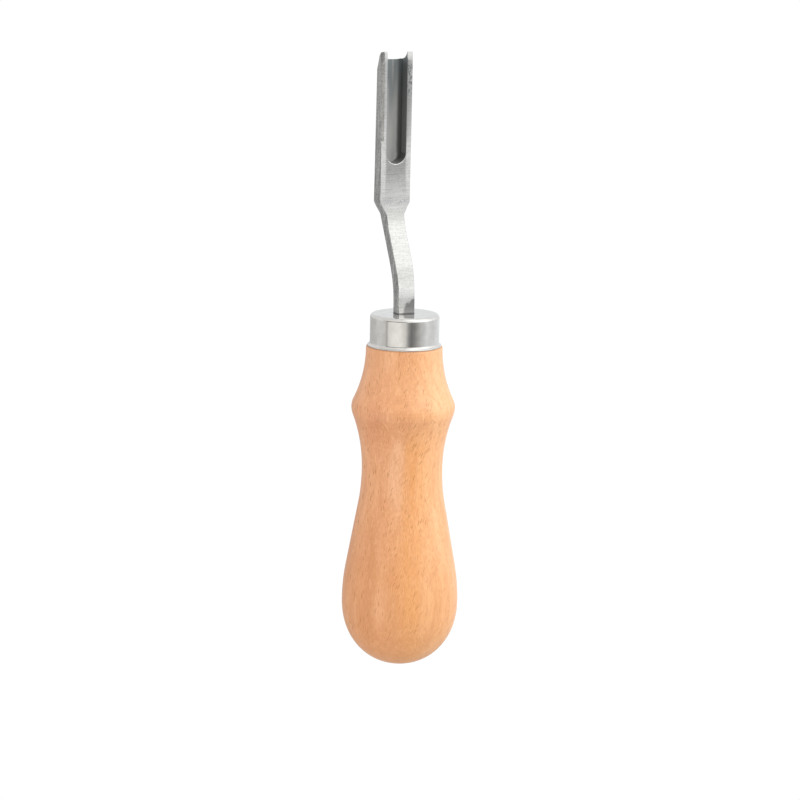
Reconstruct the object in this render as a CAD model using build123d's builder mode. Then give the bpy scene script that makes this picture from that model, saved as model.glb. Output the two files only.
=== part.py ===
from build123d import *
from math import cos, radians, sin, tan
import os

# Edge beveler: a steel blade with a U-channel head on a gooseneck shank, set in a turned
# beech handle through a polished metal ferrule.
# The tool stands upright. Z is the handle's axis with the butt at z = 0, the open side of
# the blade's channel faces -Y, and the tool is symmetric about the plane x = 0.
# Lengths are in millimetres, angles in degrees. A "height" is a z coordinate.

# ---- handle: (radius, height) of the points that its outline passes through ----------
bulb = (14.68, 16.3)                        # thickest section
fullness = 0.585                            # of the butt's curve; 0.552 would make it elliptical
bulb_end = (13.68, 26.5)                    # the bulb's curve becomes a straight cone
cone_end = (10.67, 43.05)                   # the cone becomes the waist's curve
waist = (10.12, 50.75)
ring_lower = (12.73, 64.85)
ring_crest = (12.99, 66.45)
ring_upper = (12.66, 68.05)
collar = (9.55, 81.4)
collar_top = 82.05                          # shoulder under the ferrule's lip
collar_edge_rounding = 0.3

# ---- ferrule --------------------------------------------------------------------------
ferrule_radius = 8.65
ferrule_wall = 0.6
ferrule_top = 90.05
ferrule_top_rounding = 0.95
ferrule_inner_rounding = 0.4
lip_radius = 9.22
lip_flare_height = 0.85                     # the wall flares out over this height
lip_edge = 0.25                             # upright outer edge of the lip
slot_clearance = 0.12                       # gap on each side between shank and slot

# ---- spigot and tang bore in the handle -------------------------------------------------
spigot_clearance = 0.06
spigot_chamfer = 0.5
bore_radius = 3.4
bore_end = 46.05
drill_point_angle = 118.0

# ---- blade: tang and shank --------------------------------------------------------------
shank_width = 4.45
shank_thickness = 3.02
shank_middle = 0.68                         # the shank stands this far behind the axis
tang_end = 47.55
tang_end_width = 3.0
tang_end_thickness = 2.0
tang_top = 88.35                            # the tang stops tapering here
neck_height = 93.05                         # the shank's front face starts to curve here
neck_back_height = 91.75                    # and its back face here
neck_radius = 22.0
neck_lean = 28.5
upper_shank_width = 4.78
upper_shank_thickness = 2.9
widening_start = 96.5
widening_end = 103.05

# ---- blade: head ------------------------------------------------------------------------
head_width = 8.05
head_front = 6.87                           # y of the head's front face
front_bend_rounding = 9.0
back_bend_rounding = 4.0
shoulder_low = 113.75                       # the head starts to open out here
shoulder_top = 116.9                        # and has its full width from here up
shoulder_rounding = 0.9
root_end = 118.0                            # from here to the nose it gets slowly thinner
root_thickness = 5.05
root_back_rounding = 1.3
nose_start = 149.6                          # the bevel round the nose starts here
nose_thickness = 4.86
nose_back_rounding = 2.2
channel_width = 5.4
channel_depth = 4.1
channel_low = 126.45                        # lowest point of the channel's round end
channel_corner_rounding = 1.0
floor_edge = 151.95                         # height of the cutting edge on the channel floor
floor_edge_land = 0.05                      # steel left at that edge by the bevel
floor_edge_rounding = 2.5                   # rounding of the nose at that height
tip_height = 154.05
tip_roll_off = 0.3                          # the front face falls back this far at the tips
tip_roll_off_length = 2.8
prong_foot = (9.3, 152.3)                   # (y, height) where the end turns up the prongs
prong_middle = (8.35, 152.8)

os.makedirs("parts", exist_ok=True)


# ---- handle ---------------------------------------------------------------------------
spigot_radius = ferrule_radius - ferrule_wall - spigot_clearance
spigot_top = ferrule_top - ferrule_wall - spigot_clearance
drill_point_height = bore_radius / tan(radians(drill_point_angle / 2))

with BuildPart() as handle:
    with BuildSketch(Plane.XZ):
        with BuildLine():
            Bezier((0, 0), (fullness * bulb[0], 0), (bulb[0], (1 - fullness) * bulb[1]), bulb)
            TangentArc(bulb, bulb_end, tangent=(0, 1))
            Line(bulb_end, cone_end)
            TangentArc(waist, cone_end, tangent=(0, -1))
            TangentArc(waist, ring_lower, tangent=(0, 1))
            ThreePointArc(ring_lower, ring_crest, ring_upper)
            TangentArc(collar, ring_upper, tangent=(0, -1))
            TangentArc(collar, (collar[0] - collar_edge_rounding, collar_top), tangent=(0, 1))
            Polyline(
                (collar[0] - collar_edge_rounding, collar_top),
                (spigot_radius, collar_top),
                (spigot_radius, spigot_top - spigot_chamfer),
                (spigot_radius - spigot_chamfer, spigot_top),
                (bore_radius, spigot_top),
                (bore_radius, bore_end),
                (0, bore_end - drill_point_height),
                (0, 0),
            )
        make_face()
    revolve(axis=Axis.Z)


# ---- ferrule --------------------------------------------------------------------------
slot_width = shank_width + 2 * slot_clearance
slot_depth = shank_thickness + 2 * slot_clearance
lip_top = collar_top + lip_edge
inner_radius = ferrule_radius - ferrule_wall
inner_top = ferrule_top - ferrule_wall

with BuildPart() as ferrule:
    with BuildSketch(Plane.XZ):
        with BuildLine():
            Polyline(
                (ferrule_radius, lip_top + lip_flare_height),
                (ferrule_radius, ferrule_top - ferrule_top_rounding),
            )
            RadiusArc(
                (ferrule_radius, ferrule_top - ferrule_top_rounding),
                (ferrule_radius - ferrule_top_rounding, ferrule_top),
                -ferrule_top_rounding,
            )
            Polyline(
                (ferrule_radius - ferrule_top_rounding, ferrule_top),
                (0, ferrule_top),
                (0, inner_top),
                (inner_radius - ferrule_inner_rounding, inner_top),
            )
            RadiusArc(
                (inner_radius - ferrule_inner_rounding, inner_top),
                (inner_radius, inner_top - ferrule_inner_rounding),
                ferrule_inner_rounding,
            )
            Polyline(
                (inner_radius, inner_top - ferrule_inner_rounding),
                (inner_radius, collar_top),
                (lip_radius, collar_top),
                (lip_radius, lip_top),
            )
            TangentArc(
                (ferrule_radius, lip_top + lip_flare_height),
                (lip_radius, lip_top),
                tangent=(0, -1),
            )
        make_face()
    revolve(axis=Axis.Z)
    with BuildSketch(Plane.XY.offset(inner_top)):
        with Locations((0, shank_middle)):
            Rectangle(slot_width, slot_depth)
    extrude(amount=2 * ferrule_wall, mode=Mode.SUBTRACT)


# ---- blade ----------------------------------------------------------------------------
def back_section(height, thickness, corner_rounding):
    """Section across the head: rounded at the back, and open far beyond its front face."""
    reach = 30
    with BuildSketch(Plane.XY.offset(height)) as section:
        with Locations((0, head_front + thickness - reach / 2)):
            Rectangle(head_width, reach)
        fillet(section.vertices().group_by(Axis.Y)[-1], corner_rounding)
    return section.sketch


def corner_at(outline, across, height):
    """The corner of a sketched outline at the given place."""
    return outline.vertices().sort_by_distance((across, height))[0]


lean = radians(neck_lean)
shank_front = shank_middle - shank_thickness / 2
shank_back = shank_middle + shank_thickness / 2
neck_front = (shank_front + neck_radius * (1 - cos(lean)), neck_height + neck_radius * sin(lean))
front_bend = neck_front[1] + (head_front - neck_front[0]) / tan(lean)
# the leaning back face, carried on down, would meet the upright one at this height
back_corner = front_bend - (head_front - shank_back) / tan(lean) - upper_shank_thickness / sin(lean)
back_curve_reach = back_corner - neck_back_height
neck_back = (
    shank_back + back_curve_reach * sin(lean),
    back_corner + back_curve_reach * cos(lean),
)
head_back = head_front + root_thickness
back_bend = neck_back[1] + (head_back - neck_back[0]) / tan(lean)
blank_top = tip_height + 3
nose_growth = (blank_top - nose_start) / (floor_edge - nose_start)
nose_taper = nose_thickness - channel_depth - floor_edge_land
nose_top_thickness = nose_thickness - nose_taper * nose_growth
nose_top_rounding = nose_back_rounding + (floor_edge_rounding - nose_back_rounding) * nose_growth
roll_off_radius = (tip_roll_off_length**2 + tip_roll_off**2) / (2 * tip_roll_off)

# what the cutter removes for the channel: round lower end, open front and open tip
with BuildPart() as channel:
    channel_centre = channel_low + channel_width / 2
    channel_length = blank_top + 2 - channel_centre
    with BuildSketch(Plane.XZ.offset(-head_front - channel_depth)):
        with Locations((0, channel_centre)):
            Circle(channel_width / 2)
        with Locations((0, channel_centre + channel_length / 2)):
            Rectangle(channel_width, channel_length)
    extrude(amount=2 * channel_depth)
    fillet(channel.faces().sort_by(Axis.Y)[-1].edges(), channel_corner_rounding)

with BuildPart() as blade:
    # side view: tang, straight shank, gooseneck and head
    with BuildSketch(Plane.YZ) as side_view:
        with BuildLine():
            Polyline(
                (shank_back, neck_back_height),
                (shank_back, tang_top),
                (shank_middle + tang_end_thickness / 2, tang_end),
                (shank_middle - tang_end_thickness / 2, tang_end),
                (shank_front, tang_top),
                (shank_front, neck_height),
            )
            TangentArc((shank_front, neck_height), neck_front, tangent=(0, 1))
            Polyline(
                neck_front,
                (head_front, front_bend),
                (head_front, blank_top),
                (head_back, blank_top),
                (head_back, back_bend),
                neck_back,
            )
            TangentArc((shank_back, neck_back_height), neck_back, tangent=(0, 1))
        make_face()
        fillet(corner_at(side_view, head_front, front_bend), front_bend_rounding)
        fillet(corner_at(side_view, head_back, back_bend), back_bend_rounding)
    extrude(amount=head_width, both=True)

    # front view: the shank widens a little in the gooseneck, then opens into the head
    with BuildSketch(Plane.XZ) as front_view:
        with BuildLine():
            Polyline(
                (0, tang_end - 1),
                (tang_end_width / 2, tang_end - 1),
                (tang_end_width / 2, tang_end),
                (shank_width / 2, tang_top),
                (shank_width / 2, widening_start),
                (upper_shank_width / 2, widening_end),
                (upper_shank_width / 2, shoulder_low),
                (head_width / 2, shoulder_top),
                (head_width / 2, blank_top),
                (0, blank_top),
            )
            mirror(about=Plane.YZ)
        make_face()
        for side in (-1, 1):
            fillet(corner_at(front_view, side * head_width / 2, shoulder_top), shoulder_rounding)
    extrude(amount=30, both=True, mode=Mode.INTERSECT)

    # the head's back edges are rounded, more so towards the nose, and the bevel that
    # sharpens the nose runs round its back and its back corners
    loft(
        sections=[
            back_section(tang_end - 1, root_thickness, root_back_rounding),
            back_section(root_end, root_thickness, root_back_rounding),
            back_section(nose_start, nose_thickness, nose_back_rounding),
            back_section(blank_top, nose_top_thickness, nose_top_rounding),
        ],
        ruled=True,
        mode=Mode.INTERSECT,
    )

    add(channel.part, mode=Mode.SUBTRACT)

    # the end runs straight across the floor, then turns up to a point on each prong
    tip = (head_front + tip_roll_off, tip_height)
    with BuildSketch(Plane.YZ):
        with BuildLine():
            Polyline(
                (head_back + 1, floor_edge),
                (head_front + channel_depth, floor_edge),
                prong_foot,
            )
            ThreePointArc(prong_foot, prong_middle, tip)
            RadiusArc((head_front, tip_height - tip_roll_off_length), tip, roll_off_radius)
            Polyline(
                (head_front, tip_height - tip_roll_off_length),
                (head_front - 1, tip_height - tip_roll_off_length),
                (head_front - 1, blank_top + 1),
                (head_back + 1, blank_top + 1),
                (head_back + 1, floor_edge),
            )
        make_face()
    extrude(amount=head_width, both=True, mode=Mode.SUBTRACT)


# ---- adhesive -------------------------------------------------------------------------
with BuildPart() as tang_adhesive:
    with BuildSketch(Plane.XZ):
        with BuildLine():
            Polyline(
                (0, bore_end - drill_point_height),
                (bore_radius, bore_end),
                (bore_radius, spigot_top),
                (0, spigot_top),
                close=True,
            )
        make_face()
    revolve(axis=Axis.Z)
    add(blade.part, mode=Mode.SUBTRACT)


# ---- files ----------------------------------------------------------------------------
handle.part.label = "handle"
export_step(handle.part, "parts/handle.step")
ferrule.part.label = "ferrule"
export_step(ferrule.part, "parts/ferrule.step")
blade.part.label = "blade"
export_step(blade.part, "parts/blade.step")
tang_adhesive.part.label = "tang_adhesive"
export_step(tang_adhesive.part, "parts/tang_adhesive.step")
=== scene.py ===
import math

import bmesh
import bpy
import numpy as np
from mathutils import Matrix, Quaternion, Vector


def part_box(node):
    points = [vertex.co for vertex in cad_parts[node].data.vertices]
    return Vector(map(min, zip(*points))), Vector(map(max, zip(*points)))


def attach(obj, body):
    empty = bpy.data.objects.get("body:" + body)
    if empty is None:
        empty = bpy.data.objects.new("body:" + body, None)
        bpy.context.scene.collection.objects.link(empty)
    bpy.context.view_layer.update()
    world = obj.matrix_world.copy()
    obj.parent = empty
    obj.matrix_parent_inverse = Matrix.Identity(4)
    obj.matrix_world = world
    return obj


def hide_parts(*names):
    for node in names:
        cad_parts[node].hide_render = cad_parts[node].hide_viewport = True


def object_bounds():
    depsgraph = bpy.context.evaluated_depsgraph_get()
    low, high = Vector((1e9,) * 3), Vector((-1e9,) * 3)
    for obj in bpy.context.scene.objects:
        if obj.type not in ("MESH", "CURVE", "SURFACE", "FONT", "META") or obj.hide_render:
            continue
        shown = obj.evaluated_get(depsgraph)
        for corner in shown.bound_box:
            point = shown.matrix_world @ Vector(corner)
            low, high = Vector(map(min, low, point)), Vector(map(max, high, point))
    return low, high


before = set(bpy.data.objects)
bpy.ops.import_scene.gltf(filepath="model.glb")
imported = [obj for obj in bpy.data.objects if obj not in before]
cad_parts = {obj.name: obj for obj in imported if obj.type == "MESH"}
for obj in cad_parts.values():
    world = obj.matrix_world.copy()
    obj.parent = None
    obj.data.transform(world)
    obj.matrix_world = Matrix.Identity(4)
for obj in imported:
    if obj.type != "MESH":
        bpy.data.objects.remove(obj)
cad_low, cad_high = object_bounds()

# Looks for an edge beveler: beech handle, polished ferrule and a ground steel blade.
# The row frame: Z is the handle's axis with the butt at 0, the blade's channel faces -Y, and
# the tool is symmetric about x = 0. Sizes named below are millimetres, and MM makes metres.
MM = 0.001

scene = bpy.context.scene
scene.view_settings.view_transform = "Standard"


def box_mm(node):
    low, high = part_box(node)
    return low / MM, high / MM


# ================================================================ outlines
def tangent_arc(start, end, heading, steps=16):
    """Points after start on the circular arc that leaves start along heading and reaches end."""
    start, end = Vector(start), Vector(end)
    along = Vector(heading).normalized()
    aside = Vector((-along.y, along.x))
    chord = end - start
    radius = chord.length_squared / (2 * chord.dot(aside))
    sweep = 2 * math.atan2(chord.dot(aside), chord.dot(along))
    centre = start + aside * radius
    points = []
    for step in range(1, steps + 1):
        angle = sweep * step / steps
        offset = along * math.sin(angle) - aside * math.cos(angle)
        points.append(tuple(centre + offset * radius))
    return points


def rounded(corners, steps=12):
    """A line through (across, height, radius) corners, with each inner corner rounded."""
    points = [corners[0][:2]]
    for before, corner, after in zip(corners, corners[1:], corners[2:]):
        here, radius = Vector(corner[:2]), corner[2]
        back = (Vector(before[:2]) - here).normalized()
        ahead = (Vector(after[:2]) - here).normalized()
        if radius == 0:
            points.append(tuple(here))
            continue
        reach = radius / math.tan(back.angle(ahead) / 2)
        first = here + back * reach
        points.append(tuple(first))
        points += tangent_arc(first, here + ahead * reach, -back, steps)
    points.append(corners[-1][:2])
    return points


class Line:
    """A rounded line that gives its distance across at any height."""

    def __init__(self, corners):
        points = rounded(corners)
        self.heights = [point[1] for point in points]
        self.across = [point[0] for point in points]

    def at(self, height):
        return float(np.interp(height, self.heights, self.across))


# ================================================================ meshes
def mesh_object(name, points, faces):
    """An object in the scene with a mesh from points in millimetres."""
    mesh = bpy.data.meshes.new(name)
    mesh.from_pydata([tuple(Vector(point) * MM) for point in points], [], faces)
    made = bpy.data.objects.new(name, mesh)
    scene.collection.objects.link(made)
    return made


def make_piece(name, points, faces, material, node, sharp_angle=30):
    """A visible piece that stands for a CAD node."""
    piece = mesh_object(name, points, faces)
    piece.data.validate()
    piece.data.materials.append(material)
    shade(piece.data, sharp_angle)
    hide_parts(node)
    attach(piece, "root")
    return piece


def shade(mesh, sharp_angle):
    """Smooth shading that breaks at edges sharper than an angle in degrees."""
    mesh.polygons.foreach_set("use_smooth", [True] * len(mesh.polygons))
    mesh.set_sharp_from_angle(angle=math.radians(sharp_angle))


def bridge(ring, next_ring):
    """Quads between two closed rings of point numbers."""
    count = len(ring)
    return [
        (ring[i], ring[(i + 1) % count], next_ring[(i + 1) % count], next_ring[i])
        for i in range(count)
    ]


def circle(radius, height, count):
    """Points of a level circle round Z."""
    turns = [2 * math.pi * i / count for i in range(count)]
    return [(radius * math.cos(turn), radius * math.sin(turn), height) for turn in turns]


def revolve(outline, count):
    """Points and faces of (radius, height) points turned about Z; a zero radius is a pole."""
    points, rings, faces = [], [], []
    for radius, height in outline:
        start = len(points)
        points += circle(radius, height, count) if radius > 0 else [(0, 0, height)]
        rings.append(list(range(start, len(points))))
    for ring, next_ring in zip(rings, rings[1:]):
        if len(ring) == 1:
            faces += [(ring[0], next_ring[(i + 1) % count], next_ring[i]) for i in range(count)]
        elif len(next_ring) == 1:
            faces += [(ring[i], ring[(i + 1) % count], next_ring[0]) for i in range(count)]
        else:
            faces += bridge(ring, next_ring)
    return points, faces


# ================================================================ material nodes
class Tree:
    """Short calls that add nodes to a node tree."""

    def __init__(self, tree):
        self.tree = tree

    def add(self, kind, **settings):
        node = self.tree.nodes.new(kind)
        for key, value in settings.items():
            setattr(node, key, value)
        return node

    def put(self, socket, value):
        if isinstance(value, bpy.types.NodeSocket):
            self.tree.links.new(value, socket)
        else:
            socket.default_value = value

    def math(self, operation, a, b=0.0, c=0.0):
        node = self.add("ShaderNodeMath", operation=operation)
        for socket, value in zip(node.inputs, (a, b, c)):
            self.put(socket, value)
        return node.outputs[0]

    def vector(self, operation, a, b=(0, 0, 0), scale=1.0):
        node = self.add("ShaderNodeVectorMath", operation=operation)
        self.put(node.inputs[0], a)
        if operation == "SCALE":
            node.inputs["Scale"].default_value = scale
        else:
            self.put(node.inputs[1], b)
        return node.outputs["Value" if operation in ("LENGTH", "DOT_PRODUCT") else "Vector"]

    def split(self, value):
        node = self.add("ShaderNodeSeparateXYZ")
        self.put(node.inputs[0], value)
        return node.outputs[0], node.outputs[1], node.outputs[2]

    def join(self, x, y, z):
        node = self.add("ShaderNodeCombineXYZ")
        for socket, value in zip(node.inputs, (x, y, z)):
            self.put(socket, value)
        return node.outputs[0]

    def stretched(self, across, deep, tall, position=None):
        """Position divided by a grain size for each axis, in millimetres."""
        return self.vector("DIVIDE", position or self.position, (across, deep, tall))

    def noise(self, position, detail=3.0, roughness=0.55):
        node = self.add("ShaderNodeTexNoise")
        self.put(node.inputs["Vector"], position)
        node.inputs["Scale"].default_value = 1.0
        node.inputs["Detail"].default_value = detail
        node.inputs["Roughness"].default_value = roughness
        return node.outputs["Fac"]

    def specks(self, position):
        """Distance to the nearest of scattered points, and a random number for that point."""
        node = self.add("ShaderNodeTexVoronoi")
        self.put(node.inputs["Vector"], position)
        node.inputs["Scale"].default_value = 1.0
        return node.outputs["Distance"], self.split(node.outputs["Color"])[0]

    def step(self, value, low, high, to_low=0.0, to_high=1.0):
        """Smoothly from to_low to to_high as value goes from low to high."""
        node = self.add("ShaderNodeMapRange", interpolation_type="SMOOTHSTEP")
        for socket, number in zip(node.inputs, (value, low, high, to_low, to_high)):
            self.put(socket, number)
        return node.outputs["Result"]

    def ramp(self, value, stops):
        """A colour ramp from (place, colour) stops."""
        node = self.add("ShaderNodeValToRGB")
        self.put(node.inputs[0], value)
        elements = node.color_ramp.elements
        while len(elements) < len(stops):
            elements.new(0.5)
        for element, (place, colour) in zip(elements, stops):
            element.position = place
            element.color = (*colour, 1)
        return node.outputs["Color"]

    def blend(self, share, a, b):
        """Colour a changed towards b by share."""
        node = self.add("ShaderNodeMix", data_type="RGBA")
        self.put(node.inputs["Factor"], share)
        for name, value in (("A", a), ("B", b)):
            socket = [s for s in node.inputs if s.name == name and s.type == "RGBA"][0]
            self.put(socket, value if isinstance(value, bpy.types.NodeSocket) else (*value, 1))
        return [s for s in node.outputs if s.type == "RGBA"][0]

    def mix(self, share, a, b):
        """Number a changed towards b by share."""
        node = self.add("ShaderNodeMix", data_type="FLOAT")
        for socket, value in zip(node.inputs[:1] + node.inputs[2:4], (share, a, b)):
            self.put(socket, value)
        return node.outputs[0]

    def bump(self, height, depth_mm, strength=1.0, below=None):
        """A normal from a height field whose full range is depth_mm."""
        node = self.add("ShaderNodeBump")
        node.inputs["Strength"].default_value = strength
        node.inputs["Distance"].default_value = depth_mm * MM
        self.put(node.inputs["Height"], height)
        if below is not None:
            self.put(node.inputs["Normal"], below)
        return node.outputs["Normal"]


class Surface(Tree):
    """A material with a Principled shader, and places and normals in millimetres."""

    def __init__(self, name):
        self.material = bpy.data.materials.new(name)
        self.material.use_nodes = True
        super().__init__(self.material.node_tree)
        self.shader = self.tree.nodes["Principled BSDF"]
        coordinates = self.add("ShaderNodeTexCoord")
        self.position = self.vector("SCALE", coordinates.outputs["Object"], scale=1 / MM)
        self.x, self.y, self.z = self.split(self.position)
        self.nx, self.ny, self.nz = self.split(coordinates.outputs["Normal"])

    def set(self, **values):
        """Sets the shader's sockets; a_b stands for the socket named "A B"."""
        for key, value in values.items():
            name = key.replace("_", " ").title().replace("Ior", "IOR")
            self.put(self.shader.inputs[name], value)


def all_of(nodes, *values):
    """The product of values between 0 and 1."""
    result = values[0]
    for value in values[1:]:
        result = nodes.math("MULTIPLY", result, value)
    return result


def beech_material():
    """Steamed beech under a thin satin lacquer: soft bands, growth rings, pores and ray flecks."""
    n = Surface("beech_lacquered")

    # the grain wanders a little from side to side on its way up
    sway = n.math("MULTIPLY_ADD", n.noise(n.stretched(40, 40, 46), detail=1), 8, -4)
    wander = n.join(n.math("ADD", n.x, sway), n.y, n.z)

    # growth rings round a pith that lies well outside the blank, behind it and to the right
    ripple = n.noise(n.stretched(7, 7, 40, wander), detail=2)
    pith = n.vector("MULTIPLY", n.vector("SUBTRACT", wander, (17, 36, 0)), (1, 1, 0.03))
    ring = n.math("DIVIDE", n.vector("LENGTH", pith), 2.3)
    ring = n.math("FRACT", n.math("MULTIPLY_ADD", ripple, 2.2, ring))
    late_wood = n.math("POWER", ring, 3)

    # soft bands of colour that run up the blank
    band = n.noise(n.stretched(4.2, 4.2, 120, wander), detail=3, roughness=0.6)
    cloud = n.noise(n.stretched(6, 6, 14), detail=3)
    tone = n.math("ADD", n.math("MULTIPLY", band, 0.8), n.math("MULTIPLY", cloud, 0.2))
    colour = n.ramp(tone, [
        (0.34, (0.60, 0.250, 0.100)),
        (0.46, (0.70, 0.325, 0.135)),
        (0.56, (0.77, 0.385, 0.170)),
        (0.68, (0.83, 0.450, 0.220)),
    ])
    # painted light: the blank is painted pinker and darker on its left and paler on its right, as
    # if lit from the right
    across = n.step(n.math("ADD", n.x, n.math("MULTIPLY", n.y, -0.35)), -13, 13)
    painted_left_shade = n.math("MULTIPLY", n.math("SUBTRACT", 1, across), 0.50)
    colour = n.blend(painted_left_shade, colour, (0.68, 0.295, 0.165))
    # painted highlight: the right side of the blank is made paler
    colour = n.blend(n.math("MULTIPLY", across, 0.34), colour, (0.92, 0.535, 0.275))
    colour = n.blend(n.math("MULTIPLY", late_wood, 0.20), colour, (0.55, 0.22, 0.08))
    # its front has a deep band up the middle, an orange one at the right, a pale streak up the
    # waist and a brown one up the bulb
    sideways = n.math("MULTIPLY_ADD", band, 5, n.vector("DOT_PRODUCT", n.position, GRAIN_ACROSS))
    in_front = n.step(n.y, -4, 0, 1, 0)
    below_ring = n.step(n.z, 56, 66, 1, 0)

    def figure(middle, core, reach, strength, *limits):
        """A band up the front that fades from core to reach, in millimetres off its middle."""
        off_middle = n.math("ABSOLUTE", n.math("ADD", sideways, -middle))
        return all_of(n, n.step(off_middle, core, reach, strength, 0), in_front, *limits)

    colour = n.blend(figure(2.5, 0.5, 6.0, 0.26), colour, (0.62, 0.255, 0.085))
    colour = n.blend(figure(5.5, 1.0, 4.5, 0.40, below_ring), colour, (0.79, 0.365, 0.11))
    pale = figure(1.2, 0.5, 2.4, 0.34, n.step(n.z, 33, 46), below_ring)
    colour = n.blend(pale, colour, (0.86, 0.53, 0.34))
    brown = figure(-4.8, 0.4, 2.2, 0.30, n.step(n.z, 3, 12), n.step(n.z, 30, 44, 1, 0))
    colour = n.blend(brown, colour, (0.50, 0.22, 0.055))

    # narrow streaks, then fine fibres and pores
    streak = n.noise(n.stretched(1.0, 1.0, 55, wander), detail=3, roughness=0.6)
    colour = n.blend(n.step(streak, 0.50, 0.70, 0, 0.26), colour, (0.58, 0.245, 0.09))
    colour = n.blend(n.step(streak, 0.48, 0.32, 0, 0.22), colour, (0.86, 0.50, 0.29))
    fibre = n.noise(n.stretched(0.26, 0.26, 3.6, wander), detail=4, roughness=0.65)
    colour = n.blend(n.step(fibre, 0.47, 0.66, 0, 0.30), colour, (0.50, 0.21, 0.08))
    pores = n.noise(n.stretched(0.25, 0.25, 1.4, wander), detail=2, roughness=0.6)
    colour = n.blend(n.step(pores, 0.52, 0.68, 0, 0.30), colour, (0.55, 0.25, 0.10))
    colour = n.blend(n.step(pores, 0.48, 0.32, 0, 0.22), colour, (0.95, 0.60, 0.34))

    # ray flecks: short dark dashes whose ribbons run back into the blank, some of them leaning
    over = n.vector("DOT_PRODUCT", wander, GRAIN_ACROSS)
    deep = n.vector("DOT_PRODUCT", wander, GRAIN_BACK)
    patches = n.noise(n.stretched(6, 6, 13), detail=1)
    leaning = n.noise(n.stretched(9, 9, 17), detail=1)
    leaning = n.step(n.math("MULTIPLY_ADD", leaning, 9, over), 0.5, 2.0)
    flecks = None
    for over_mm, tall_mm, size, lean, shift in (
        (0.38, 2.8, 0.24, 0.0, 0), (0.44, 3.8, 0.21, 0.06, 37),
        (0.36, 2.2, 0.28, 0.50, 71), (0.42, 2.8, 0.26, 0.36, 113),
    ):
        ribbons = n.join(n.math("SUBTRACT", over, n.math("MULTIPLY", n.z, lean)), deep, n.z)
        place = n.vector("ADD", n.stretched(over_mm, 4.0, tall_mm, ribbons), (shift, shift, shift))
        distance, chance = n.specks(place)
        width = n.math("MULTIPLY", n.step(chance, 0.2, 1.0), size)
        layer = n.step(n.math("SUBTRACT", distance, width), -0.05, 0.05, 1, 0)
        where = leaning if lean > 0.2 else n.math("SUBTRACT", 1, leaning)
        layer = all_of(n, layer, n.step(chance, 0.0, 0.4), where)
        flecks = layer if flecks is None else n.math("MAXIMUM", flecks, layer)
    flecks = n.math("MULTIPLY", flecks, n.step(patches, 0.30, 0.52, 0.45, 1.0))
    flecks = n.math("MULTIPLY", flecks, n.step(over, 3, 9, 1.0, 0.4))
    colour = n.blend(n.math("MULTIPLY", flecks, 0.78), colour, (0.40, 0.16, 0.035))

    # the wood is darker towards the butt and has a dark line at the joint to the ferrule; a painted
    # sheen makes the collar paler and painted shade darkens the wood under the ring
    colour = n.blend(n.step(n.z, 8, 58, 0.32, 0), colour, (0.56, 0.235, 0.075))
    # painted sheen: the ring's top and the collar are made paler where the lacquer would reflect
    # the bright ceiling
    colour = n.blend(n.step(n.z, 62, 70, 0, 0.12), colour, (0.84, 0.50, 0.29))
    # painted shade under the ring's crisp lower edge, where the wood turns downwards
    ring_edge = n.step(n.z, RING_GROOVE - 0.2, RING_GROOVE + 0.4, 1, 0)
    painted_shade_under_ring = all_of(n, n.step(n.z, 57.0, 63.5), ring_edge, 0.10)
    colour = n.blend(painted_shade_under_ring, colour, (0.45, 0.17, 0.06))
    joint = n.step(n.z, COLLAR_TOP - 0.45, COLLAR_TOP - 0.05, 0.0, 0.55)
    colour = n.blend(joint, colour, (0.26, 0.12, 0.06))

    # lacquer follows the fibres, sinks into the flecks, and is a little uneven
    patch = n.noise(n.stretched(11, 11, 18), detail=2)
    roughness = n.math("MULTIPLY_ADD", fibre, 0.10, 0.34)
    n.set(
        base_color=colour,
        roughness=n.math("ADD", n.math("MULTIPLY", patch, 0.16), roughness),
        coat_weight=0.30,
        coat_roughness=0.24,
        coat_ior=1.45,
        specular_ior_level=0.40,
        subsurface_weight=0.03,
        subsurface_radius=(0.0012, 0.0006, 0.0003),
        subsurface_scale=0.4,
    )
    relief = n.math("SUBTRACT", n.math("MULTIPLY", fibre, 0.4), flecks)
    sanding = n.noise(n.stretched(3.0, 3.0, 0.35), detail=2)
    normal = n.bump(sanding, 0.012, 0.5)
    normal = n.bump(relief, 0.010, 0.6, normal)
    n.set(normal=normal)
    n.put(n.shader.inputs["Coat Normal"], n.bump(sanding, 0.004, 0.5))
    return n.material


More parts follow.
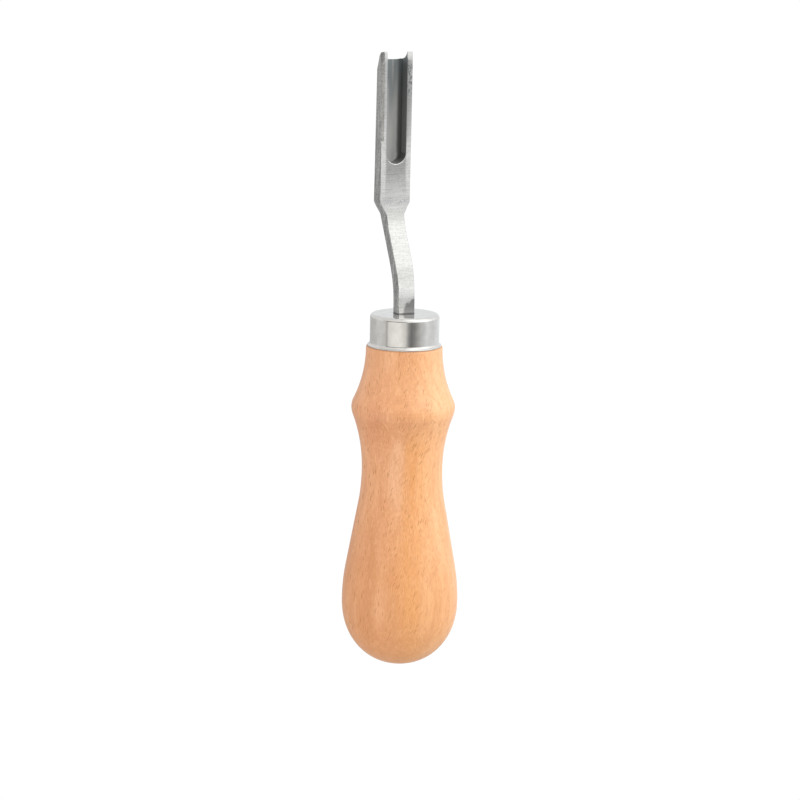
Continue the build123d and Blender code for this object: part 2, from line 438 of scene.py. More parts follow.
def steel_material():
    """Tool steel, ground across the front faces and along the sides; painted highlights on the
    front, painted shade on the sides, darker inside the channel with painted shade and a painted
    reflection.
    """
    n = Surface("ground_steel")
    side = n.step(n.math("ABSOLUTE", n.nx), 0.5, 0.8)
    in_channel = all_of(
        n,
        n.step(n.math("ABSOLUTE", n.x), CHANNEL_HALF_WIDTH - 0.02, CHANNEL_HALF_WIDTH + 0.03, 1, 0),
        n.step(n.y, HEAD_FRONT + 0.12, HEAD_FRONT + 0.35),
        n.step(n.y, HEAD_BACK - 0.9, HEAD_BACK - 0.7, 1, 0),
        n.step(n.z, CHANNEL_LOW - 0.2, CHANNEL_LOW),
    )
    outside = n.math("SUBTRACT", 1, in_channel)
    lengthwise = n.math("MAXIMUM", side, in_channel)

    across_lines = n.noise(n.stretched(4.5, 3, 0.13), detail=4, roughness=0.65)
    along_lines = n.noise(n.stretched(0.42, 0.42, 10), detail=4, roughness=0.7)
    lines = n.mix(lengthwise, across_lines, along_lines)
    coarse = n.mix(
        lengthwise,
        n.noise(n.stretched(5, 4, 0.55), detail=2),
        n.noise(n.stretched(0.7, 0.7, 14), detail=2),
    )
    mottle = n.noise(n.stretched(0.42, 0.42, 0.5), detail=3, roughness=0.65)
    cloud = n.noise(n.stretched(2.4, 2.4, 3.2), detail=2)

    # painted highlights: the front is painted brighter along the head's edges, at the foot of the
    # head and of the shank, and a little on the shank between them, where it would reflect the
    # bright light overhead
    edges = all_of(
        n,
        n.step(n.math("ABSOLUTE", n.x), 2.3, 3.1),
        n.step(n.z, 128, 143, 1.0, 0.25),
        n.step(n.z, 113, 117),
    )
    head_foot = all_of(n, n.step(n.z, 116, 126, 1, 0), n.step(n.z, 113.6, 116.8))
    shank_foot = all_of(n, n.step(n.z, 94.5, 99.5, 0.75, 0), n.step(n.z, 90.3, 93.0, 0.3, 1))
    neck = all_of(n, n.step(n.z, 99, 103), n.step(n.z, 110.5, 113.5, 0.26, 0))
    # painted highlight mask over the front faces
    bright = edges
    for highlight_patch in (head_foot, shank_foot, neck):
        bright = n.math("MAXIMUM", bright, highlight_patch)
    bright = all_of(n, bright, n.step(n.ny, -0.7, -0.4, 1, 0), outside)
    grain = n.math("ADD", n.math("MULTIPLY", lines, 0.6), n.math("MULTIPLY", mottle, 0.4))
    dull = n.ramp(grain, [
        (0.38, (0.41, 0.41, 0.405)), (0.5, (0.51, 0.51, 0.50)), (0.62, (0.62, 0.62, 0.605)),
    ])
    highlight_colour = n.ramp(grain, [
        (0.42, (0.76, 0.765, 0.76)), (0.5, (0.91, 0.91, 0.90)), (0.58, (0.98, 0.98, 0.97)),
    ])
    colour = n.blend(bright, dull, highlight_colour)

    # painted shade: the sides and the flat up the left prong are painted darker and the rounded
    # back darkest;
    # the broken front edges below the flat get a painted highlight
    side_shade_colour = n.ramp(grain, [
        (0.42, (0.24, 0.24, 0.24)), (0.5, (0.42, 0.42, 0.42)), (0.58, (0.62, 0.62, 0.61)),
    ])
    above_flat = n.step(n.z, FLAT_START + 0.1, FLAT_START + 0.35)
    left_flat = all_of(n, n.step(n.x, -3.7, -3.2, 1, 0), above_flat, 0.6)
    # painted shade on the side faces and the left flat
    colour = n.blend(n.math("MAXIMUM", n.math("MULTIPLY", side, outside), left_flat), colour, side_shade_colour)
    # painted shade: the rounded back faces are darkest
    painted_rear_shade = all_of(n, side, n.step(n.ny, 0.08, 0.36), n.step(n.z, 118, 140, 0.25, 0.6))
    colour = n.blend(painted_rear_shade, colour, (0.14, 0.14, 0.14))
    # painted highlight on the slanted broken front edges below the flat
    slanted = all_of(n, n.step(n.ny, -0.96, -0.9), n.step(n.ny, -0.45, -0.3, 1, 0))
    below_flat = n.step(n.z, FLAT_START, FLAT_START + 0.3, 1, 0)
    painted_edge_highlight = all_of(n, slanted, below_flat, outside, n.step(n.z, 112, 116), 0.8)
    colour = n.blend(painted_edge_highlight, colour, (0.93, 0.93, 0.92))

    # painted shade darkens the channel where its floor turns into its walls, and a painted blue
    # reflection lies by its mouth
    below = n.math("MINIMUM", n.math("ADD", n.z, -CHANNEL_LOW - CHANNEL_HALF_WIDTH), 0)
    reach = n.vector("LENGTH", n.join(n.x, below, 0))
    # painted shade in the channel's corners, where the floor turns into the walls
    turned = n.step(n.math("MULTIPLY_ADD", below, 0.3, reach), 1.45, 2.25, 0, 0.92)
    colour = n.blend(n.math("MULTIPLY", in_channel, 0.75), colour, (0.76, 0.76, 0.75))
    colour = n.blend(n.math("MULTIPLY", in_channel, turned), colour, (0.14, 0.14, 0.14))
    spread = n.math("SUBTRACT", n.z, n.math("MULTIPLY", n.math("ABSOLUTE", n.x), 3.2))
    # painted reflection: a blue-grey tint over the channel near its mouth
    painted_blue_reflection = all_of(n, in_channel, n.step(spread, 132, 147), n.step(coarse, 0.36, 0.56, 0.55, 1.0))
    colour = n.blend(n.math("MULTIPLY", painted_blue_reflection, 0.66), colour, (0.19, 0.235, 0.255))

    # dark bites that the grinding left: on the right prong, over the shoulder and, faintly, all
    # up the prongs
    front = n.math("MULTIPLY", n.step(n.ny, -0.9, -0.6, 1, 0), outside)
    bites = n.step(mottle, 0.47, 0.56)
    prong = all_of(n, n.step(n.x, 2.4, 3.0), n.step(n.z, 139, 146), n.step(n.z, 150.5, 152.0, 1, 0))
    uneven = n.math("ADD", n.z, n.math("MULTIPLY", cloud, 1.6))
    shoulder = all_of(n, n.step(uneven, 116.6, 117.6), n.step(uneven, 118.4, 119.6, 1, 0))
    marks = n.math("MAXIMUM", prong, n.math("MULTIPLY", shoulder, 0.45))
    marks = n.math("MAXIMUM", marks, n.math("MULTIPLY", n.step(n.z, 128, 134), 0.2))
    marks = all_of(n, marks, bites, front)
    colour = n.blend(n.math("MULTIPLY", marks, 0.8), colour, (0.10, 0.12, 0.15))

    # painted shade with a slight tint in a ragged patch at the right of the shank's foot, and a
    # painted shadow along the slot
    blot = n.math("MULTIPLY_ADD", mottle, 1.6, -0.8)
    patch_top = n.math("ADD", n.z, n.math("ADD", blot, n.step(n.x, 0.7, 1.7, 0, -0.9)))
    patch_left = n.math("ADD", n.math("ADD", n.x, blot), n.math("MULTIPLY_ADD", n.z, -0.28, 25.85))
    # painted shade standing for a shallow dished grind, with a slight tint
    painted_dish_shade_and_tint = all_of(n, n.step(patch_top, 92.5, 93.3, 1, 0), n.step(patch_left, -0.6, 0.0), front)
    colour = n.blend(n.math("MULTIPLY", painted_dish_shade_and_tint, 0.85), colour, (0.24, 0.24, 0.245))
    # painted shadow: a dark line at the foot of the blade where it enters the ferrule's slot
    colour = n.blend(n.step(n.z, 90.2, 90.38, 0.7, 0), colour, (0.10, 0.10, 0.10))

    roughness = n.math("MULTIPLY_ADD", cloud, 0.12, 0.17)
    roughness = n.math("ADD", n.math("MULTIPLY", lines, 0.16), roughness)
    roughness = n.math("ADD", roughness, n.math("MULTIPLY", marks, 0.2))
    roughness = n.math("ADD", roughness, n.math("MULTIPLY", in_channel, 0.34))
    n.set(base_color=colour, metallic=1.0, roughness=roughness)
    normal = n.bump(coarse, 0.012, 0.5)
    normal = n.bump(lines, 0.006, 0.6, normal)
    normal = n.bump(mottle, 0.008, 0.35, normal)
    n.set(normal=normal)
    return n.material


def ferrule_material():
    """Drawn and buffed metal with a bright finish, hairline scratches and dull spots."""
    n = Surface("polished_ferrule")
    angle = n.math("ARCTAN2", n.y, n.x)
    around = n.join(n.math("MULTIPLY", angle, FERRULE_RADIUS), n.nz, n.z)
    hairlines = n.noise(n.stretched(9, 5, 0.09, around), detail=3, roughness=0.6)
    cloud = n.noise(n.stretched(1.6, 1.6, 2.2), detail=3)
    wave = n.noise(n.stretched(3.4, 3.4, 5.5), detail=1)
    colour = n.ramp(cloud, [
        (0.35, (0.70, 0.685, 0.665)),
        (0.65, (0.80, 0.785, 0.765)),
    ])
    distance, chance = n.specks(n.stretched(1.4, 1.4, 1.4))
    spots = n.math("MULTIPLY", n.step(distance, 0.05, 0.16, 1, 0), n.step(chance, 0.55, 0.75))
    colour = n.blend(n.math("MULTIPLY", spots, 0.35), colour, (0.33, 0.31, 0.29))
    roughness = n.math("MULTIPLY_ADD", cloud, 0.05, 0.02)
    roughness = n.math("ADD", n.math("MULTIPLY", hairlines, 0.05), roughness)
    roughness = n.math("ADD", n.math("MULTIPLY", spots, 0.2), roughness)
    n.set(base_color=colour, metallic=1.0, roughness=roughness)
    normal = n.bump(wave, 0.012, 0.3)
    normal = n.bump(hairlines, 0.0012, 0.5, normal)
    n.set(normal=normal)
    return n.material


def adhesive_material():
    """Cured amber epoxy with a few trapped bubbles."""
    n = Surface("cured_epoxy")
    cloud = n.noise(n.stretched(2, 2, 4), detail=3)
    colour = n.ramp(cloud, [(0.35, (0.50, 0.36, 0.17)), (0.7, (0.66, 0.52, 0.29))])
    distance, chance = n.specks(n.stretched(0.9, 0.9, 0.9))
    bubbles = n.math("MULTIPLY", n.step(distance, 0.12, 0.2, 1, 0), n.step(chance, 0.5, 0.6))
    n.set(
        base_color=n.blend(n.math("MULTIPLY", bubbles, 0.5), colour, (0.85, 0.76, 0.55)),
        roughness=n.math("MULTIPLY_ADD", cloud, 0.2, 0.15),
        normal=n.bump(bubbles, 0.03, 0.6),
    )
    return n.material


# ================================================================ sizes shared by pieces
handle_high = box_mm("handle")[1]
ferrule_low, ferrule_high = box_mm("ferrule")
blade_low, blade_high = box_mm("blade")
COLLAR_TOP = ferrule_low.z
RING_GROOVE = 64.85
SPIGOT_RADIUS = 7.99
BORE_RADIUS = box_mm("tang_adhesive")[1].x
BORE_BOTTOM = 46.05
DRILL_HALF_ANGLE = math.radians(59)
FERRULE_RADIUS = 8.65
FERRULE_WALL = 0.6
SHANK_MIDDLE = 0.68
SHANK_HALF_WIDTH = 2.225
SHANK_THICKNESS = 3.02
SHANK_LEAN = math.radians(28.5)
HEAD_FRONT = 6.87
HEAD_BACK = blade_high.y
HEAD_HALF_WIDTH = blade_high.x
CHANNEL_HALF_WIDTH = 2.7
CHANNEL_DEPTH = 4.1
CHANNEL_LOW = 126.45
FLAT_START = 131.7
# level directions across the wood's figure and back into it, 25 degrees off the X and Y axes
GRAIN_ACROSS = (0.906, -0.423, 0)
GRAIN_BACK = (0.423, 0.906, 0)


# ================================================================ handle
def butt_curve(widest, fullness, steps=32):
    """Points of the butt from the axis out to its widest place; fullness shapes the quarter."""
    points = []
    for step in range(steps + 1):
        t = step / steps
        near, far = 3 * (1 - t) ** 2 * t, 3 * (1 - t) * t ** 2
        points.append((
            (near * fullness + far + t ** 3) * widest[0],
            (far * (1 - fullness) + t ** 3) * widest[1],
        ))
    return points


def make_handle(material):
    bulb = (handle_high.x, 16.3)
    bulb_end, cone_end = (13.68, 26.5), (10.67, 43.05)
    waist = (10.12, 50.75)
    ring_lower, ring_crest, ring_upper = (12.73, RING_GROOVE), (12.99, 66.45), (12.66, 68.05)
    collar = (9.55, COLLAR_TOP - 0.65)
    collar_rounding = 0.32
    chamfer = 0.5
    outline = butt_curve(bulb, 0.585)
    outline += tangent_arc(bulb, bulb_end, (0, 1), 14)
    for share in np.arange(1, 13) / 12:
        outline.append(tuple(Vector(bulb_end).lerp(Vector(cone_end), share)))
    outline += list(reversed(tangent_arc(waist, cone_end, (0, -1), 10)))[1:] + [waist]
    outline += tangent_arc(waist, ring_lower, (0, 1), 22)
    # the ring has a crisp edge below and rolls over its crest
    outline += [
        (ring_lower[0] + 0.09, ring_lower[1] + 0.40),
        (ring_lower[0] + 0.19, ring_lower[1] + 0.90),
        ring_crest,
        (ring_upper[0] + 0.23, ring_upper[1] - 0.8),
    ]
    outline += list(reversed(tangent_arc(collar, ring_upper, (0, -1), 26))) + [collar]
    outline += tangent_arc(collar, (collar[0] - collar_rounding, COLLAR_TOP), (0, 1), 12)
    outline += [
        (SPIGOT_RADIUS, COLLAR_TOP),
        (SPIGOT_RADIUS, handle_high.z - chamfer),
        (SPIGOT_RADIUS - chamfer, handle_high.z),
        (BORE_RADIUS, handle_high.z),
        (BORE_RADIUS, BORE_BOTTOM),
        (0, BORE_BOTTOM - BORE_RADIUS / math.tan(DRILL_HALF_ANGLE)),
    ]
    points, faces = revolve(outline, 256)
    make_piece("handle_turned", points, faces, material, "handle", sharp_angle=7)


# ================================================================ ferrule
def slot_ring(count, grow, height):
    """Points of the slot's outline, one for each direction from its middle."""
    clearance = 0.12
    half_width = SHANK_HALF_WIDTH + clearance + grow
    half_depth = SHANK_THICKNESS / 2 + clearance + grow
    corner = math.atan2(half_depth, half_width)
    points = []
    for i in range(count):
        turn = 2 * math.pi * i / count
        # the nearest direction to each corner is turned to meet it
        half_turns, within = divmod(turn, math.pi)
        for wanted in (corner, math.pi - corner):
            if abs(within - wanted) < math.pi / count:
                turn = half_turns * math.pi + wanted
        reach = min(
            half_width / max(abs(math.cos(turn)), 1e-9),
            half_depth / max(abs(math.sin(turn)), 1e-9),
        )
        points.append((reach * math.cos(turn), SHANK_MIDDLE + reach * math.sin(turn), height))
    return points


def make_ferrule(material):
    count = 192
    top, bottom = ferrule_high.z, ferrule_low.z
    wall_top, rounding = top - 0.95, 0.95
    lip_radius, flare_top = ferrule_high.x, bottom + 0.98
    inner_radius, inner_top, inner_rounding = FERRULE_RADIUS - FERRULE_WALL, top - FERRULE_WALL, 0.4

    # from the bottom edge round the rolled lip, up the flare and the wall, to the flat top
    outer = [
        (inner_radius, bottom),
        (lip_radius - 0.07, bottom),
        (lip_radius - 0.01, bottom + 0.05),
        (lip_radius, bottom + 0.12),
        (lip_radius - 0.01, bottom + 0.20),
    ]
    flare_foot = (lip_radius - 0.04, bottom + 0.25)
    outer += list(reversed(tangent_arc((FERRULE_RADIUS, flare_top), flare_foot, (0, -1), 14)))
    outer += [(FERRULE_RADIUS, height) for height in np.linspace(flare_top, wall_top, 7)]
    outer += tangent_arc(outer[-1], (FERRULE_RADIUS - rounding, top), (0, 1), 14)
    inner = [(inner_radius - inner_rounding, inner_top)]
    inner += tangent_arc(inner[0], (inner_radius, inner_top - inner_rounding), (1, 0), 5)

    def between(ring, next_ring, share, dip=0.0):
        down = Vector((0, 0, dip))
        return [tuple(Vector(a).lerp(Vector(b), share) - down) for a, b in zip(ring, next_ring)]

    rings = [circle(radius, height, count) for radius, height in outer]
    # the flat top dips a little where the slot was punched
    edge, slot_edge = rings[-1], slot_ring(count, 0.08, top)
    for share, dip in ((0.25, 0), (0.5, 0), (0.7, 0.005), (0.85, 0.018), (1.0, 0.045)):
        rings.append(between(edge, slot_edge, share, dip))
    rings.append(slot_ring(count, 0.0, top - 0.12))
    rings.append(slot_ring(count, 0.0, inner_top))
    # and the underside runs from the slot out to the inside of the wall
    inside = [circle(radius, height, count) for radius, height in inner]
    rings.append(between(rings[-1], inside[0], 0.5))
    rings += inside

    points = [point for ring in rings for point in ring]
    numbers = [list(range(first, first + count)) for first in range(0, len(points), count)]
    faces = []
    for ring, next_ring in zip(numbers, numbers[1:] + numbers[:1]):
        faces += bridge(ring, next_ring)
    make_piece(
        "ferrule_drawn", points, faces, material, "ferrule", sharp_angle=40,
    )


# ================================================================ blade
class BladeShape:
    """Outer form of the blade by height, before the channel is cut."""

    def __init__(self):
        self.tip, self.bottom = blade_high.z, blade_low.z
        # the side outline: a straight foot, a bend at the neck, a leaning shank and an upright head
        front, back = SHANK_MIDDLE - SHANK_THICKNESS / 2, SHANK_MIDDLE + SHANK_THICKNESS / 2
        self.tang_top, self.shoulder_foot, beyond = 88.35, 113.75, self.tip + 3
        neck_radius, neck_height, neck_back_height = 22.0, 93.05, 91.75
        upper_thickness = 2.9
        half_tan, lean_tan = math.tan(SHANK_LEAN / 2), math.tan(SHANK_LEAN)
        front_corner = neck_height + neck_radius * half_tan
        front_bend = front_corner + (HEAD_FRONT - front) / lean_tan
        back_foot = front_bend - (HEAD_FRONT - back) / lean_tan
        back_corner = back_foot - upper_thickness / math.sin(SHANK_LEAN)
        back_bend = back_corner + (HEAD_BACK - back) / lean_tan
        back_radius = (back_corner - neck_back_height) / half_tan
        # the back of the head is ground off from the nose up to the floor's cutting edge
        self.nose_start, self.floor_edge = 149.6, 151.95
        nose_thickness, floor_thickness = 4.86, 0.05
        ground_away = nose_thickness - CHANNEL_DEPTH - floor_thickness
        taper = ground_away / (self.floor_edge - self.nose_start)
        nose_back = HEAD_FRONT + nose_thickness
        self.front_line = Line([
            (SHANK_MIDDLE - 1, self.bottom, 0),
            (front, self.tang_top, 0),
            (front, front_corner, neck_radius),
            (HEAD_FRONT, front_bend, 14.0),
            (HEAD_FRONT, beyond, 0),
        ])
        self.back_line = Line([
            (SHANK_MIDDLE + 1, self.bottom, 0),
            (back, self.tang_top, 0),
            (back, back_corner, back_radius),
            (HEAD_BACK, back_bend, 4.0),
            (HEAD_BACK, 118.0, 0),
            (nose_back, self.nose_start, 0),
            (nose_back - taper * (beyond - self.nose_start), beyond, 0),
        ])
        # the front outline, as half widths: the head widens a little towards its tip
        neck_half_width, tip_half_width = 2.39, HEAD_HALF_WIDTH + 0.11
        self.width_line = Line([
            (1.5, self.bottom, 0),
            (SHANK_HALF_WIDTH, self.tang_top, 0),
            (SHANK_HALF_WIDTH, 96.5, 0),
            (neck_half_width, 103.05, 0),
            (neck_half_width, self.shoulder_foot, 0.5),
            (HEAD_HALF_WIDTH, 116.9, 0.9),
            (HEAD_HALF_WIDTH, 122.0, 0),
            (tip_half_width, self.tip, 0),
            (tip_half_width, beyond, 0),
        ])
        # the radius of the back corners
        self.rounding_line = Line([
            (0.15, self.bottom, 0),
            (0.15, self.shoulder_foot, 0),
            (1.3, 117.2, 0),
            (1.3, 118.0, 0),
            (2.2, self.nose_start, 0),
            (2.5, self.floor_edge, 0),
            (2.9, beyond, 0),
        ])
        # the ground end, as height by depth: a curve from the tips down towards the floor, then
        # straight across it
        point, middle, foot = (HEAD_FRONT + 0.3, self.tip), (7.86, 152.62), (9.3, 152.3)
        curve = []
        for share in np.arange(13) / 12:
            weights = (1 - share) ** 2, 2 * share * (1 - share), share ** 2
            curve.append([
                sum(weight * place[axis] for weight, place in zip(weights, (point, middle, foot)))
                for axis in (0, 1)
            ])
        curve += [(HEAD_FRONT + CHANNEL_DEPTH, self.floor_edge), (HEAD_BACK + 1, self.floor_edge)]
        self.end_depths, self.end_heights = zip(*curve)
        # the outer edges of the prongs were ground less
        self.outer_depths = [point[0], 7.6, 8.35, 9.3, 10.2, HEAD_FRONT + CHANNEL_DEPTH]
        self.outer_heights = [self.tip, 153.95, 153.45, 152.75, 152.25, self.floor_edge]

    def front(self, height):
        """y of the front face, which rolls off towards the tips."""
        roll_height, roll_depth = 2.8, 0.3
        past = min(max(0.0, height - (self.tip - roll_height)), roll_height)
        radius = (roll_height ** 2 + roll_depth ** 2) / (2 * roll_depth)
        return self.front_line.at(height) + radius - math.sqrt(radius ** 2 - past ** 2)

    def edge_break(self, side, height):
        """The front corners are only broken, but a flat is ground up the left one."""
        right_break, left_break, flat_width, flat_rise = 0.09, 0.15, 0.62, 0.9
        if side > 0:
            return right_break
        wobble = 0.03 * math.sin(height * 2.1) + 0.02 * math.sin(height * 5.3)
        if height < FLAT_START:
            return left_break + wobble
        return min(left_break + (height - FLAT_START) * flat_rise, flat_width + wobble)

    def half_outline(self, side, height):
        """Points from the middle of the front, round one side, to the middle of the back."""
        front, back = self.front(height), self.back_line.at(height)
        half, turn = self.width_line.at(height), self.rounding_line.at(height)
        turn = min(turn, half - 0.2)
        broken = self.edge_break(side, height)
        points = [(share * (half - broken), front) for share in (0, 0.33, 0.66, 1)]
        for share in np.linspace(0, 1, 9):
            points.append((half, front + broken + share * (back - turn - front - broken)))
        for angle in math.radians(90) * np.linspace(0, 1, 9)[1:]:
            points.append((
                half - turn + turn * math.cos(angle),
                back - turn + turn * math.sin(angle),
            ))
        for share in (0.75, 0.5, 0.25, 0):
            points.append(((half - turn) * share, back))
        return [(side * x, y) for x, y in points]

    def end_height(self, depth, outer=False):
        """Height of the ground end at a depth, on its inner or its outer edges."""
        if outer:
            return float(np.interp(depth, self.outer_depths, self.outer_heights))
        return float(np.interp(depth, self.end_depths, self.end_heights))


def blade_body(shape):
    """Closed outer form: rings of points up the blade, the last of them on the ground end."""
    # level rings stand closer where the outline bends and where the left prong's flat starts
    heights = [shape.bottom, 60, 75, shape.tang_top]
    heights += list(np.arange(90, 113.6, 0.8)) + list(np.arange(shape.shoulder_foot, 118.2, 0.25))
    heights += list(np.arange(118.5, 131.6, 1.0))
    heights += [FLAT_START + step for step in (-0.1, 0, 0.15, 0.3, 0.7)]
    heights += list(np.arange(133.0, 149.0, 1.0)) + [shape.nose_start]
    last = heights[-1]

    def ring_at(height):
        left, right = shape.half_outline(-1, height), shape.half_outline(1, height)
        return right + list(reversed(left))[1:-1]

    rows = [[(x, y, height) for x, y in ring_at(height)] for height in heights]
    count = len(rows[0])
    # above the last level row, each line of points runs on to the end surface, whose height
    # there is found by closing in on it
    ends = []
    for column in range(count):
        height = shape.floor_edge
        for _ in range(30):
            depth = ring_at(height)[column][1]
            height = (height + shape.end_height(depth, outer=True)) / 2
        ends.append(height)
    for share in np.linspace(0, 1, 11)[1:]:
        row = []
        for column in range(count):
            height = last + (ends[column] - last) * share
            x, y = ring_at(height)[column]
            row.append((x, y, height))
        rows.append(row)

    points = [point for row in rows for point in row]
    faces = []
    for row in range(len(rows) - 1):
        ring = list(range(row * count, (row + 1) * count))
        faces += bridge(ring, [number + count for number in ring])
    faces.append(tuple(reversed(range(count))))
    # the end is closed by strips across it, from each point to its mirror point; the prongs'
    # strips have two more points, because their outer edges stand higher
    top = (len(rows) - 1) * count
    half = count // 2
    corner = 4  # a row's first point on the right side, next to its broken front edge
    inner_x = CHANNEL_HALF_WIDTH + 0.25
    inner = {}
    for i in range(corner, half):
        x, y, height = points[top + i]
        if y < HEAD_FRONT + CHANNEL_DEPTH and x > inner_x + 0.1:
            for side, column in ((1, i), (-1, count - i)):
                points.append((side * inner_x, y, min(height, shape.end_height(y))))
                inner[column] = len(points) - 1

    def strip_line(i):
        mirror = (count - i) % count
        if mirror == i:
            return [top + i]
        return [top + mirror] + [inner[c] for c in (mirror, i) if c in inner] + [top + i]

    tip = [top + i for i in range(count - corner + 1, count)] + [top + i for i in range(corner)]
    faces.append(tuple(strip_line(corner) + list(reversed(tip))))
    for i in range(corner, half):
        line_a, line_b = strip_line(i), strip_line(i + 1)
        if len(line_a) == len(line_b):
            for k in range(len(line_a) - 1):
                faces.append((line_a[k], line_a[k + 1], line_b[k + 1], line_b[k]))
        else:
            faces.append(tuple(line_a + list(reversed(line_b))))
    return points, faces


def channel_cutter(shape):
    """What the channel's cutter removes, with a narrow bevel all round its rim."""
    centre = CHANNEL_LOW + CHANNEL_HALF_WIDTH
    top = shape.tip + 3
    arc_steps = 36
    rim, rim_along_sides = 0.17, 0.4
    side_rounding, end_rounding = 1.35, 0.30

    def ring(level=None, rounding_share=None):
        """One closed outline of the cutter: an (inset, depth) level of its rim, or a part of the
        rounding where its sides meet the floor. Rim and rounding change along the outline."""
        points = []
        for step in range(-1, arc_steps + 2):
            turn = math.pi * min(max(step, 0), arc_steps) / arc_steps
            if rounding_share is None:
                growth = rim_along_sides + (1 - rim_along_sides) * math.sin(turn)
                inset, depth = level[0] * growth, level[1] * growth
            else:
                corner = side_rounding - (side_rounding - end_rounding) * math.sin(turn) ** 2
                angle = math.radians(90) * rounding_share
                inset = corner * (1 - math.cos(angle))
                depth = CHANNEL_DEPTH - corner + corner * math.sin(angle)
            reach = CHANNEL_HALF_WIDTH - inset
            height = top if step in (-1, arc_steps + 1) else centre - reach * math.sin(turn)
            points.append((reach * math.cos(turn), HEAD_FRONT + depth, height))
        return points

    rim_levels = [(-rim - 0.8, -0.8), (-rim, 0.0), (-rim * 0.35, rim * 0.35), (0.0, rim)]
    rings = [ring(level) for level in rim_levels]
    rings += [ring(rounding_share=step / 12) for step in range(13)]
    count = len(rings[0])
    points = [point for one in rings for point in one]
    faces = []
    for level in range(len(rings) - 1):
        first = list(range(level * count, (level + 1) * count))
        faces += bridge(first, [number + count for number in first])
    faces.append(tuple(reversed(range(count))))
    faces.append(tuple(range((len(rings) - 1) * count, len(rings) * count)))
    return points, faces


def make_blade(material):
    shape = BladeShape()
    points, faces = blade_body(shape)
    blade = make_piece("blade_ground", points, faces, material, "blade")
    cutter = mesh_object("channel_cutter", *channel_cutter(shape))
    for closed in (blade, cutter):
        make_outward(closed.data)
    cut = blade.modifiers.new("channel", "BOOLEAN")
    cut.operation = "DIFFERENCE"
    cut.solver = "EXACT"
    cut.object = cutter
    bpy.context.view_layer.update()
    graph = bpy.context.evaluated_depsgraph_get()
    result = bpy.data.meshes.new_from_object(blade.evaluated_get(graph))
    blade.modifiers.clear()
    blade.data = result
    bpy.data.objects.remove(cutter)
    shade(result, sharp_angle=30)
    smooth = blade.modifiers.new("even_shading", "WEIGHTED_NORMAL")
    smooth.keep_sharp = True


def make_outward(mesh):
    """Turns all normals of a closed mesh outwards."""
    work = bmesh.new()
    work.from_mesh(mesh)
    bmesh.ops.recalc_face_normals(work, faces=work.faces)
    work.to_mesh(mesh)
    work.free()


# ================================================================ studio
def make_floor():
    """A plain pale floor, well below the tool, that curves up far away to fill every view."""
    outline = [(0, -250), (2500, -250), (4200, 300), (5500, 2200), (6000, 6000)]
    floor = mesh_object("floor", *revolve(outline, 64))
    material = bpy.data.materials.new("pale_floor")
    material.use_nodes = True
    tree = material.node_tree
    tree.nodes.remove(tree.nodes["Principled BSDF"])
    shader = tree.nodes.new("ShaderNodeEmission")
    shader.inputs["Color"].default_value = (1, 1, 1, 1)
    shader.inputs["Strength"].default_value = 1.02
    tree.links.new(shader.outputs[0], tree.nodes["Material Output"].inputs["Surface"])
    floor.data.materials.append(material)
    for seen_by in ("diffuse", "glossy", "transmission", "shadow"):
        setattr(floor, "visible_" + seen_by, False)


# a colour ramp holds no value above 1, so the room's colours are divided by this number, and the
# background's strength multiplies them by it again
BRIGHTEST = 2.0


def make_world():
    """The room as the metal sees it: panels at eye level, a bright ceiling and a grey floor."""
    world = bpy.data.worlds.new("studio")
    scene.world = world
    world.use_nodes = True
    t = Tree(world.node_tree)
    x, y, z = t.split(t.add("ShaderNodeTexCoord").outputs["Generated"])
    # azimuth is 0 in front (-Y) and positive towards +X
    azimuth = t.math("DEGREES", t.math("ARCTAN2", x, t.math("MULTIPLY", y, -1)))
    height = t.math("DEGREES", t.math("ARCSINE", z))
    share = t.math("MULTIPLY_ADD", azimuth, 1 / 360, 0.5)

    def around(stops):
        """A colour all round the room from (azimuth, brightness, colour) stops."""
        return t.ramp(share, [
            ((degrees + 180) / 360, tuple(Vector(colour) * level / BRIGHTEST))
            for degrees, level, colour in stops
        ])

    plain, warm, cool = (1, 1, 0.985), (1, 0.985, 0.95), (0.965, 0.985, 1)
    panels = around([
        (-180, 0.56, plain), (-162, 0.58, plain), (-140, 0.61, plain), (-123, 0.70, plain),
        (-109, 0.72, plain), (-92, 0.66, warm), (-87, 0.48, warm), (-84, 0.50, warm),
        (-80, 0.80, warm), (-62, 0.97, warm), (-50, 1.04, warm), (-38, 0.98, warm),
        (-22, 0.78, warm), (-12, 0.35, plain), (-3, 0.20, plain), (8, 0.26, plain),
        (19, 0.43, plain), (30, 0.60, plain), (42, 0.72, cool), (55, 0.84, cool), (84, 0.80, cool),
        (137, 0.96, cool), (160, 0.75, cool), (180, 0.56, plain),
    ])
    ceiling = around([
        (-180, 0.84, cool), (-120, 0.82, plain), (-84, 0.85, warm), (-50, 0.95, warm),
        (-20, 1.0, plain), (5, 1.3, plain), (20, 1.58, plain), (60, 1.5, plain),
        (95, 1.05, cool), (137, 0.92, cool), (180, 0.84, cool),
    ])
    ground = around([
        (-180, 0.56, plain), (-90, 0.52, plain), (0, 0.56, plain), (60, 0.68, plain),
        (110, 0.70, plain), (155, 0.60, plain), (180, 0.56, plain),
    ])
    # a dark strip at eye level runs across the warm panels
    gap = all_of(
        t,
        t.step(azimuth, -92, -84), t.step(azimuth, -22, -14, 1, 0),
        t.step(height, -5, -1), t.step(height, 12, 19, 1, 0),
    )
    colour = t.blend(t.step(height, -9, 15), panels, ceiling)
    colour = t.blend(t.step(height, -36, -20, 1, 0), colour, ground)
    colour = t.blend(t.math("MULTIPLY", gap, 0.8), colour, (0.06, 0.06, 0.06))
    background = t.tree.nodes["Background"]
    t.put(background.inputs["Color"], colour)
    background.inputs["Strength"].default_value = BRIGHTEST


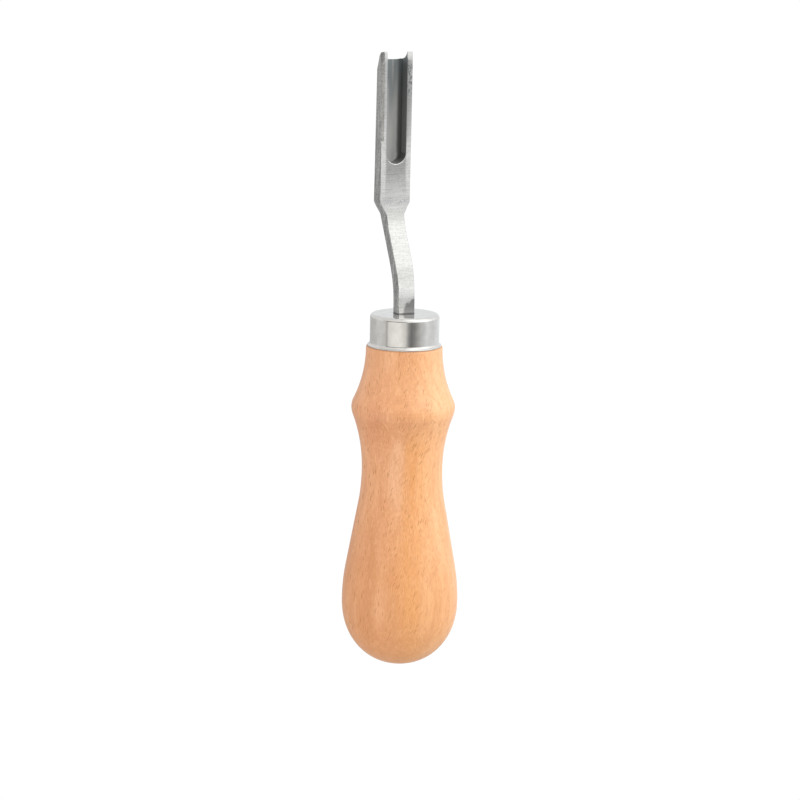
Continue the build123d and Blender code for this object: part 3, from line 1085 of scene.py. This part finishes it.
def away_from_tool(azimuth, elevation):
    """Unit vector for angles in degrees: azimuth 0 is in front (-Y), positive towards +X."""
    a, e = math.radians(azimuth), math.radians(elevation)
    return Vector((math.sin(a) * math.cos(e), -math.cos(a) * math.cos(e), math.sin(e)))


def make_light(name, azimuth, elevation, distance, width, height, watts):
    """A soft box that looks at the middle of the tool; sizes in metres, angles in degrees."""
    data = bpy.data.lights.new(name, "AREA")
    data.shape = "RECTANGLE"
    data.size, data.size_y = width, height
    data.energy = watts
    light = bpy.data.objects.new(name, data)
    scene.collection.objects.link(light)
    away = away_from_tool(azimuth, elevation)
    middle = Vector((0, 0, (cad_low.z + cad_high.z) / 2))
    light.location = middle + away * distance
    light.visible_glossy = False
    light.rotation_mode = "QUATERNION"
    light.rotation_quaternion = (-away).to_track_quat("-Z", "Y")


def make_camera():
    """Stands to the tool's left at mid height, looks down a little and leans very slightly."""
    lean = math.radians(1.07)
    distance, field = 620 * MM, 200 * MM
    aim, aside = Vector((0, 0, 68.05 * MM)), 0.82 * MM
    back = away_from_tool(-25, 11.7)
    data = bpy.data.cameras.new("camera")
    data.sensor_width = 36
    data.lens = data.sensor_width * distance / field
    data.clip_start, data.clip_end = 0.01, 200
    camera = bpy.data.objects.new("camera", data)
    scene.collection.objects.link(camera)
    camera.rotation_mode = "QUATERNION"
    turn = (-back).to_track_quat("-Z", "Y")
    right = turn @ Vector((1, 0, 0))
    camera.location = aim + back * distance - right * aside
    turn.rotate(Quaternion(back, lean))
    camera.rotation_quaternion = turn
    scene.camera = camera


make_handle(beech_material())
make_ferrule(ferrule_material())
make_blade(steel_material())
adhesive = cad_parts["tang_adhesive"]
adhesive.data.materials.clear()
adhesive.data.materials.append(adhesive_material())

make_floor()
make_world()
make_light("overhead", 30, 45, 1.0, 0.9, 0.7, 4.0)
make_light("key", 80, 10, 1.1, 0.6, 0.6, 3.4)
make_light("fill", -70, -12, 1.1, 0.9, 0.9, 4.6)
make_light("bounce", 0, -60, 1.0, 0.9, 0.9, 2.6)
make_camera()
